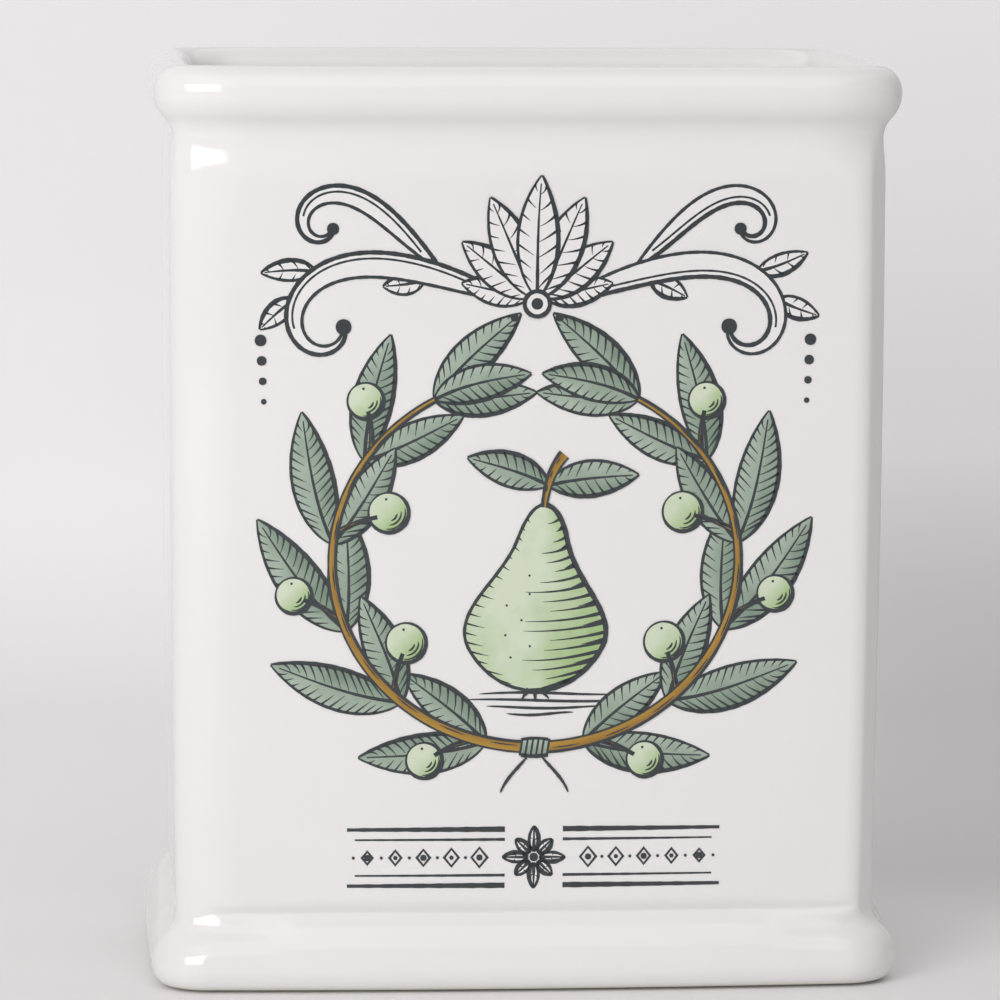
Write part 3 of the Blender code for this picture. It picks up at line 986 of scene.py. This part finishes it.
def drawPear():
    # the washed body, its outline and hatches, then what grows from it and the ground
    layer = pear["layer"]
    t, v = np.meshgrid(np.linspace(0.003, 0.997, 44), np.linspace(-1.0, 1.0, 15), indexing="ij")
    wash = 0.10 + 0.75 * ease(v, -0.25, 1.0) + 0.35 * (0.35 - t) + 0.25 * ease(-v, 0.6, 1.0)
    addPatch("fruit", onPear(t, v), layer, np.clip(wash, 0.0, 1.0))
    t = np.linspace(0.003, 0.997, 70)
    loop = np.concatenate([onPear(t, 0.99), onPear(t, -0.99)[::-1]])
    width = np.concatenate([np.full(70, ink["bold"] * 1.15), np.full(70, ink["plain"])])
    drawLine(loop, width, layer + 1, wrap=True)
    # long hatches from the right edge, short ones between them and at the left edge
    step = np.linspace(0.0, 1.0, 14)
    for number, share in enumerate(np.linspace(0.06, 0.93, pear["hatches"])):
        depth = 0.95 - 0.25 * math.sin(number * 1.7) - 0.35 * ease(share, 0.5, 0.9)
        drawPearHatch(share, 0.96 - depth * step, 1.60 - 1.40 * step, 1.0 - 0.4 * share)
        if number % 2 == 0:
            drawPearHatch(share + 0.015, 0.97 - 0.30 * step, 1.3 - 1.1 * step)
        reach = 0.20 + 0.06 * math.sin(number * 2.3)
        drawPearHatch(share, -0.97 + reach * step, 0.95 - 0.8 * step)
    for t, v in pear["flecks"]:
        drawDot(onPear(t, v), pear["fleck"], layer + 1)
    # calyx, stalk and its two leaves
    footX, footZ = pear["foot"]
    widest, out, up, length, bend = pear["calyx"]
    for lean in (-widest, 0.0, widest):
        drawLine(sweep((footX + lean * out, footZ + up), -90 + lean, length, 0, bend, count=8),
                 ink["bold"] * np.linspace(1.3, 0.3, 8), layer + 2)
    stalk = sweep(onPear(0.985, 0.0), *pear["stalk"], count=24)[::-1]
    drawTwig(stalk, pear["stalkWidth"], layer + 4, 3)
    for leaf in pear["leaves"]:
        drawLeaf(stalk[14], *leaf, layer + 2)
    # ground under the pear
    left, first, wave = pear["groundLines"]
    for row, (reach, depth) in enumerate(pear["ground"]):
        line = spots(np.linspace(-reach * left, reach, 24), footZ - first - depth)
        line[:, 1] += wave * np.sin(np.linspace(0, 5, 24) + row)
        drawLine(line, ink["plain"] * 0.9 * swell(24, 0.15, 0.5), 1)


# Scrolls and palmette over the wreath, rules under it

scroll = {
    "palmette": (0.0, 133.0),
    # lean, length and width of its petals
    "petals": ((0.0, 24.5, 8.0), (27.0, 22.0, 7.6), (54.0, 18.0, 6.8), (80.0, 14.0, 5.6)),
    "petalRoot": (0.018, 1.2),      # how far out a petal starts for each degree of lean, and its height
    "boss": (2.6, 2.4, 1.15),       # radii of the boss over the petals' roots, of its ring and of its dot
    "bossDots": (4.3, 2.6, 0.8),    # how far out and down the dots beside it stand, and their radius
    # start, heading, length, bend at both ends, power and points of the two strokes on each side
    "main": ((6.2, 134.0), 22.0, 62.0, -0.4, -17.0, 2.7, 170),
    "upper": ((19.0, 140.0), 44.0, 42.0, 0.2, -25.0, 2.4, 110),
    # width in the middle and at the ends, power that shifts the middle, radius of the end dot
    "mainPen": (4.3, 0.4, 0.72, 1.55),
    "upperPen": (3.3, 0.3, 0.8, 1.2),
    # place on the main stroke, lean and length of its leaflets
    "leaflets": ((0.60, 46.0, 10.5), (0.71, 44.0, 9.0), (0.26, -30.0, 8.0)),
    "leaflet": (1.6, 4.0, 3.0),     # distance from the stroke's middle, width and bend
    "shadeLine": (1.15, 0.10, 0.78),    # distance from the stroke's edge, and the shares it runs between
    # place of the first bead, how far in and down the next one lies, radius, and how much less the next has
    "beads": (52.6, 126.0, 0.2, 3.9, 1.15, 0.2),
    "ruleLow": 20.5,
    "ruleMiddle": 5.5,          # the diamonds and the flower stand this far over the lowest rule
    # height over the lowest rule, reach and weight of each rule; they start beside the flower
    "rules": ((0.0, 36.0, "bold"), (2.0, 34.5, "fine"), (9.0, 34.5, "fine"), (11.0, 36.0, "bold")),
    "ruleStart": 5.6,
    "diamonds": (10.5, 5.4, 1.9, 0.16),     # first place, spacing, size, and how much each is smaller
    "diamondDots": (0.62, 0.42, 0.3),       # radii of the dots in them, by turns, and of those between
    "flower": (1.1, 5.0, 3.9, 1.9),         # place of the petals' roots, their two lengths, width
}


def drawStroke(path, width, layer):
    # an open stroke: two edges, and a thin line inside its shaded edge
    right, left = offset(path, -width / 2), offset(path, width / 2)
    addPatch("blank", np.stack([right, path, left], axis=1), layer)
    drawLine(left, ink["plain"], layer + 1)
    drawLine(right, ink["bold"], layer + 1)
    inset, start, end = scroll["shadeLine"]
    inside = slice(int(len(path) * start), int(len(path) * end))
    drawLine(offset(path, -width / 2 + inset)[inside], ink["fine"] * 0.95, layer + 1)


def drawScrollSide(side):
    # the main scroll runs out and curls down, a second curls up from its middle
    main, upper = sweep(*scroll["main"]), sweep(*scroll["upper"])
    for path, pen, layer in ((main, "mainPen", 6), (upper, "upperPen", 2)):
        wide, thin, power, dot = scroll[pen]
        t = np.linspace(0.0, 1.0, len(path))
        drawStroke(sided(path, side), wide * np.sin(math.pi * t ** power) ** 0.9 + thin, layer)
        drawDot(sided(path, side)[-1], dot)
    # leaflets that grow from the main scroll, and beads under its end
    gap, width, bend = scroll["leaflet"]
    for share, lean, length in scroll["leaflets"]:
        here = int(share * len(main))
        turned = headingOf(main[here], main[here + 1]) + lean
        base = sided(main[here] + np.array([0.0, math.copysign(gap, lean)]), side)
        if side < 0:
            turned = 180.0 - turned
        drawLeaf(base, turned, length, width, math.copysign(bend, lean), 1, 4)
    x, z, inward, down, radius, less = scroll["beads"]
    for number in range(4):
        bead = np.array([x - inward * number, z - down * number])
        drawDot(sided(bead, side), radius - less * number)


def drawPalmette():
    # petals from the outer pair to the middle one, then a boss over their roots
    x, z = scroll["palmette"]
    out, up = scroll["petalRoot"]
    for row, (lean, length, width) in enumerate(scroll["petals"][::-1]):
        for side in ((1,) if lean == 0.0 else (1, -1)):
            drawLeaf((x + side * lean * out, z + up), 90.0 - side * lean, length * 0.95, width,
                     side * 0.6 * (lean > 0), 8 + 2 * row, 7)
    boss, rim, dot = scroll["boss"]
    addPatch("blank", disc((x, z), boss, 9)[0], 16)
    drawLine(ring((x, z), rim)[:-1], ink["bold"], 17, wrap=True)
    drawDot((x, z), dot, 17)
    out, down, dot = scroll["bossDots"]
    for side in (1, -1):
        drawDot((x + side * out, z - down), dot, 17)


def drawRules():
    # double rules above and below a row of diamonds and dots, with a flower in the middle
    low, middle = scroll["ruleLow"], scroll["ruleLow"] + scroll["ruleMiddle"]
    first, spacing, widest, less = scroll["diamonds"]
    evenDot, oddDot, dotBetween = scroll["diamondDots"]
    for height, reach, weight in scroll["rules"]:
        for side in (1, -1):
            path = spots(side * np.linspace(scroll["ruleStart"], reach, 30), low + height)
            drawLine(path, ink[weight] * np.linspace(1.25, 0.75, 30), 1)
    for side in (1, -1):
        for number in range(5):
            centre = np.array([side * (first + spacing * number), middle])
            size = widest - less * number
            corners = np.array([[size * 0.8, 0.0], [0.0, size], [-size * 0.8, 0.0], [0.0, -size]])
            drawLine(centre + corners, ink["plain"] * 0.9, 1, wrap=True)
            drawDot(centre, oddDot if number % 2 else evenDot)
            drawDot(centre + np.array([side * spacing / 2, 0.0]), dotBetween)
    out, long, short, width = scroll["flower"]
    for number in range(8):
        turn = 45.0 * number
        root = (out * math.cos(math.radians(turn)), middle + out * math.sin(math.radians(turn)))
        drawLeaf(root, turn, long if number % 2 == 0 else short, width, 0.0, 2, 3)
    drawDot((0.0, middle), 0.85, 4)


# The tie that holds both twigs at the wreath's foot

tie = {
    "half": 2.6,            # half length along the twigs
    "bulge": (1.75, 0.25),  # half height in the middle, and how much less at the ends
    "turns": 6,
    "thread": (0.25, 1.6),  # half width and half height of each turn of thread
    "endRoot": (1.2, 1.6),  # how far out and down the loose ends start
    "end": (38.0, 9.0, 3.0, -7.0),      # lean, length and bend at both ends
}


def drawTie():
    # a band round both twigs: a filled patch, its two edges, the turns of thread across it, loose ends
    x, z = wreath["centre"][0], wreath["centre"][1] - wreath["height"]
    half = tie["half"]
    edge = np.linspace(-half, half, 9)
    bulge = tie["bulge"][0] - tie["bulge"][1] * (edge / half) ** 2
    band = np.stack([spots(x + edge, z - bulge), spots(x + edge, z + bulge)], axis=1)
    addPatch("leaf", band, 14, np.stack([np.full(9, 0.75), np.full(9, 0.2)], axis=1))
    for row in (0, 1):
        drawLine(band[:, row], ink["plain"] * (1.2 - 0.3 * row), 15)
    out, up = tie["thread"]
    for turn in np.linspace(-half, half, tie["turns"]):
        thread = spots(x + turn + np.linspace(-out, out, 6), z + np.linspace(-up, up, 6))
        drawLine(thread, ink["fine"] * 0.95, 15)
    out, down = tie["endRoot"]
    lean, length, bendStart, bendEnd = tie["end"]
    for side in (1, -1):
        loose = sweep((x + side * out, z - down), -90.0 + side * lean, length, side * bendStart,
                      side * bendEnd, count=26)
        drawLine(loose, ink["plain"] * swell(26, 0.35), 13)


drawWreathSide(1)
drawWreathSide(-1)
drawTie()
drawPear()
drawScrollSide(1)
drawScrollSide(-1)
drawPalmette()
drawRules()
buildSheet("printBlanks", "blank", whiteGlaze)
buildSheet("printLeaves", "leaf", inks["leaf"])
buildSheet("printFruit", "fruit", inks["fruit"])
buildSheet("printTwigs", "stem", inks["stem"])
buildSheet("printLines", "line", inks["line"])


# Stage, light and camera

stage = {
    "bend": 0.5,            # the paper's curve behind the jar
    "back": 1.5,            # where it starts
    "front": -4.0,
    "top": 3.5,
    "halfWidth": 4,
    "roughness": 0.55,
    "specular": 0.25,
    "floorColor": (0.90, 0.885, 0.88, 1.0),     # what the jar sees of it
    "seenColor": (0.824, 0.793, 0.797, 1.0),    # what the camera sees of it
    # painted shade: the paper is darkened on the right behind the jar, between dimFrom and dimTo
    "shadeRight": 0.74,     # how dark the right side falls
    "dimFrom": (0.0, 0.08),     # metres behind the jar over which that shade sets in
    "dimTo": (0.45, 0.95),      # and over which it ends
    "liftColor": (1.0, 0.985, 1.01, 1.0),   # tint of the brightness added below
    "fan": 1.1,             # left and right part on lines that meet this far in front of the jar
    "parting": (-0.05, 0.11),   # slopes of the lines between which left turns into right
    "reach": 2.0,
    # painted light: brightness added to the paper for the camera, at distances behind the jar in metres
    "liftLeft": ((0.0, 0.045), (0.05, 0.09), (0.10, 0.11), (0.20, 0.12), (0.30, 0.13), (0.42, 0.20),
                 (0.62, 0.28), (0.75, 0.31), (0.90, 0.31), (1.10, 0.32), (1.53, 0.35)),
    "liftRight": ((0.0, 0.03), (0.05, 0.05), (0.10, 0.06), (0.20, 0.07), (0.30, 0.05), (0.42, 0.06),
                  (0.60, 0.09), (0.75, 0.10), (0.90, 0.125), (1.10, 0.145), (1.53, 0.21), (1.72, 0.255),
                  (1.96, 0.30)),
}


def addRamp(tree, place, share, stops):
    # a brightness for each distance: stops are (metres, brightness) pairs
    node = addNode(tree, "ShaderNodeValToRGB", place, {"Fac": share})
    ramp = node.color_ramp
    while len(ramp.elements) < len(stops):
        ramp.elements.new(0.5)
    for element, (reach, value) in zip(ramp.elements, stops):
        element.position = reach / stage["reach"]
        element.color = (value, value, value, 1.0)
    return node.outputs["Color"]


def makeFloorMaterial():
    # camera and mirror rays see the paper with painted light and painted shade: it glows by distance and
    # darkens on the right; other light bounces off its plain colour
    material, tree, shader = newMaterial("palePaper")
    split = addNode(tree, "ShaderNodeSeparateXYZ", (-1300, 0), {"Vector": addCoords(tree, (-1500, 0))})
    paperX, paperY, paperZ = (split.outputs[axis] for axis in "XYZ")
    # distance along the paper: back plus up
    along = addMath(tree, (-1100, 100), "ADD", paperY, paperZ)
    share = addMath(tree, (-950, 100), "DIVIDE", along, stage["reach"])
    # the sides part in proportion to the distance from the camera: x over (y + fan)
    away = addMath(tree, (-1100, -150), "ADD", paperY, stage["fan"])
    side = addMath(tree, (-950, -150), "DIVIDE", paperX, away)
    toRight = addRange(tree, (-780, -150), side, stage["parting"], smooth=True)
    # painted light: the paper's glow for camera and mirror rays, one ramp for the left and one for the right
    lift = addMix(tree, (-420, 250), toRight, addRamp(tree, (-700, 350), share, stage["liftLeft"]),
                  addRamp(tree, (-700, 120), share, stage["liftRight"]))
    # painted shade: the dim corner behind the jar on the right, darkened by position
    near = addRange(tree, (-780, -400), paperY, stage["dimFrom"], smooth=True)
    far = addRange(tree, (-780, -640), paperY, stage["dimTo"], (1.0, 0.0), smooth=True)
    dim = addMath(tree, (-560, -450), "MULTIPLY", near, far)
    dimRight = addMath(tree, (-400, -350), "MULTIPLY", dim, toRight)
    shade = addRange(tree, (-240, -350), dimRight, target=(1.0, stage["shadeRight"]))
    seen = addMix(tree, (-60, -250), 1.0, stage["seenColor"], shade, "MULTIPLY")
    rays = addNode(tree, "ShaderNodeLightPath", (-420, 600))
    looks = addMath(tree, (-240, 600), "MAXIMUM", rays.outputs["Is Camera Ray"],
                    rays.outputs["Is Glossy Ray"])
    shader.location = (400, 100)
    # the emission is painted light, given off for camera and mirror rays only
    fill(tree, shader, {
        "Roughness": stage["roughness"],
        "Specular IOR Level": stage["specular"],
        "Base Color": addMix(tree, (120, -100), looks, stage["floorColor"], seen),
        "Emission Color": addMix(tree, (-240, 250), 1.0, lift, stage["liftColor"], "MULTIPLY"),
        "Emission Strength": looks,
    })
    return material


def buildStage():
    # paper on the table that sweeps up behind: flat, then a quarter circle, then upright
    bend, back = stage["bend"], stage["back"]
    turn = arc(0, 90, 25)
    along = np.concatenate([[stage["front"], -1.0, 0.0, 0.8], back + bend * np.sin(turn), [back + bend]])
    up = np.concatenate([[0.0, 0.0, 0.0, 0.0], bend * (1 - np.cos(turn)), [stage["top"]]])
    across = np.linspace(-stage["halfWidth"], stage["halfWidth"], 5)
    grid = np.stack(np.broadcast_arrays(across[None, :], along[:, None], up[:, None]), axis=2)
    index = np.arange(grid.shape[0] * grid.shape[1]).reshape(grid.shape[:2])
    faces = quads(index[:-1, :-1], index[:-1, 1:], index[1:, 1:], index[1:, :-1])
    floor = newMeshObject("floor", grid.reshape(-1, 3), faces.tolist(), makeFloorMaterial())


# azimuth (0 in front, positive to the right), elevation and turn about its own axis, all in degrees,
# distance, width and height in metres, and brightness
lamps = {
    "window": (-37, 20, 10, 1.3, 0.68, 0.60, 5.60),
    "backTop": (180, 76, 0, 1.5, 3.2, 2.6, 0.37),
    "frontTop": (-2, 50, 0, 2.0, 2.4, 1.6, 0.83),
    "frontLow": (0, 6, 0, 2.4, 2.4, 0.5, 0.33),
}
sky = {"Color": (1.0, 0.99, 1.0, 1.0), "Strength": 0.274}


def addLamp(name, azimuth, elevation, turn, distance, width, height, brightness):
    # an area lamp aimed at the jar and turned about its own axis; its power is pi * area * brightness
    a, e = math.radians(azimuth), math.radians(elevation)
    data = bpy.data.lights.new(name, "AREA")
    data.shape = "RECTANGLE"
    data.size = width
    data.size_y = height
    data.energy = math.pi * width * height * brightness
    lamp = bpy.data.objects.new(name, data)
    lamp.location = (distance * math.sin(a) * math.cos(e), -distance * math.cos(a) * math.cos(e),
                     jar["height"] / 2 + distance * math.sin(e))
    aim = (mathutils.Matrix.Rotation(a, 3, "Z") @ mathutils.Matrix.Rotation(math.pi / 2 - e, 3, "X")
           @ mathutils.Matrix.Rotation(math.radians(turn), 3, "Z"))
    lamp.rotation_euler = aim.to_euler()
    bpy.context.scene.collection.objects.link(lamp)


def buildLight():
    # an even sky and the lamps
    world = bpy.data.worlds.new("studio")
    bpy.context.scene.world = world
    world.use_nodes = True
    fill(world.node_tree, world.node_tree.nodes["Background"], sky)
    for name, values in lamps.items():
        addLamp(name, *values)


shot = {
    "pictureWidth": 1000.0,     # pixels
    "focalPixels": 5600.0,
    "sensor": 36.0,             # mm
    "distance": 1.1173,
    "yaw": 4.396,               # degrees the camera stands to the jar's left
    "pitch": 6.883,             # degrees it looks down
    "roll": -0.284,
    "slideRight": 0.002302,     # the jar's middle in the picture plane
    "slideUp": -0.000701,
    "clip": (0.05, 20.0),
}


def buildCamera():
    # the camera's right, up and forward from yaw and pitch, then rolled about forward
    a, b, r = (math.radians(shot[key]) for key in ("yaw", "pitch", "roll"))
    right = np.array([math.cos(a), -math.sin(a), 0.0])
    forward = np.array([math.sin(a) * math.cos(b), math.cos(a) * math.cos(b), -math.sin(b)])
    up = np.array([math.sin(a) * math.sin(b), math.cos(a) * math.sin(b), math.cos(b)])
    spot = -shot["slideRight"] * right - shot["slideUp"] * up - shot["distance"] * forward
    spot = spot + np.array([0.0, 0.0, jar["height"] / 2])
    rolledRight = math.cos(r) * right - math.sin(r) * up
    rolledUp = math.sin(r) * right + math.cos(r) * up
    data = bpy.data.cameras.new("camera")
    data.sensor_width = shot["sensor"]
    data.lens = shot["sensor"] * shot["focalPixels"] / shot["pictureWidth"]
    data.clip_start, data.clip_end = shot["clip"]
    camera = bpy.data.objects.new("camera", data)
    matrix = np.eye(4)
    matrix[:3, :3] = np.stack([rolledRight, rolledUp, -forward], axis=1)
    matrix[:3, 3] = spot
    camera.matrix_world = mathutils.Matrix(matrix.tolist())
    bpy.context.scene.collection.objects.link(camera)
    bpy.context.scene.camera = camera


buildStage()
buildLight()
buildCamera()
bpy.context.scene.view_settings.view_transform = "Standard"
print("stage, light and camera set")
